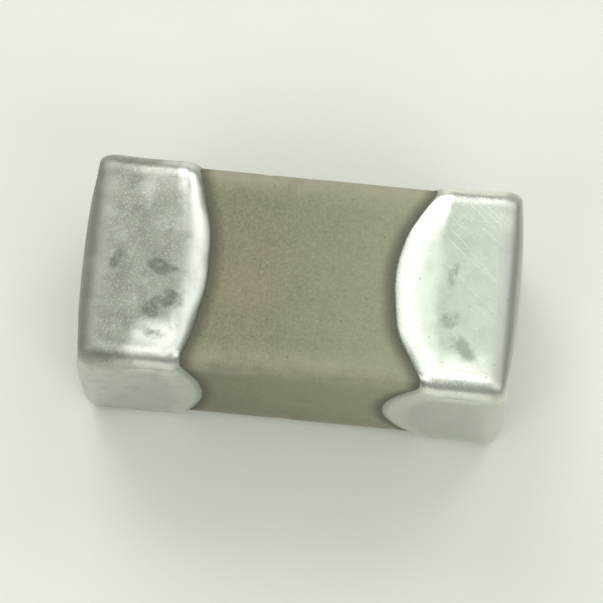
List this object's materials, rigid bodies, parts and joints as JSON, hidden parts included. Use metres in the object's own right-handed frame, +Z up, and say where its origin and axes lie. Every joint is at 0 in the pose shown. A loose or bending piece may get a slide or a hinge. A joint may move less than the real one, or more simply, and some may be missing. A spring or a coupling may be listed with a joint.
{
  "type": "smd ceramic capacitor",
  "caption": "Surface-mount multilayer ceramic chip capacitor: a matt ceramic block with a tinned metal cap over each end, to be soldered flat onto a circuit board.",
  "frame": {"origin": "centre of the chip, half its height above the board", "axes": "+X along the length towards the right termination, +Y across the width away from the viewer, +Z up from the board"},
  "size_m": [0.0016, 0.0008, 0.0008],
  "materials": {
    "ceramic": "fired barium titanate dielectric, matt to faintly satin olive-beige with fine speckle",
    "tin": "electroplated matt tin, pale grey, finely grained and scuffed from tumbling",
    "nickel": "electroplated nickel, dull satin grey with a faint yellow tint",
    "copper": "fired copper thick film, matt, copper colour, with fine glass and pores",
    "electrode": "fired nickel film, matt dark grey"
  },
  "bodies": {
    "root": {"ceramic_body": "ceramic", "left_copper_termination": "copper", "left_nickel_barrier": "nickel", "left_tin_plating": "tin", "right_copper_termination": "copper", "right_nickel_barrier": "nickel", "right_tin_plating": "tin", "left_electrode_1": "electrode", "right_electrode_1": "electrode", "left_electrode_2": "electrode", "right_electrode_2": "electrode", "left_electrode_3": "electrode", "right_electrode_3": "electrode", "left_electrode_4": "electrode", "right_electrode_4": "electrode", "left_electrode_5": "electrode", "right_electrode_5": "electrode", "left_electrode_6": "electrode", "right_electrode_6": "electrode", "left_electrode_7": "electrode", "right_electrode_7": "electrode", "left_electrode_8": "electrode", "right_electrode_8": "electrode", "left_electrode_9": "electrode", "right_electrode_9": "electrode", "left_electrode_10": "electrode", "right_electrode_10": "electrode", "left_electrode_11": "electrode", "right_electrode_11": "electrode", "left_electrode_12": "electrode", "right_electrode_12": "electrode"}
  },
  "joints": []
}
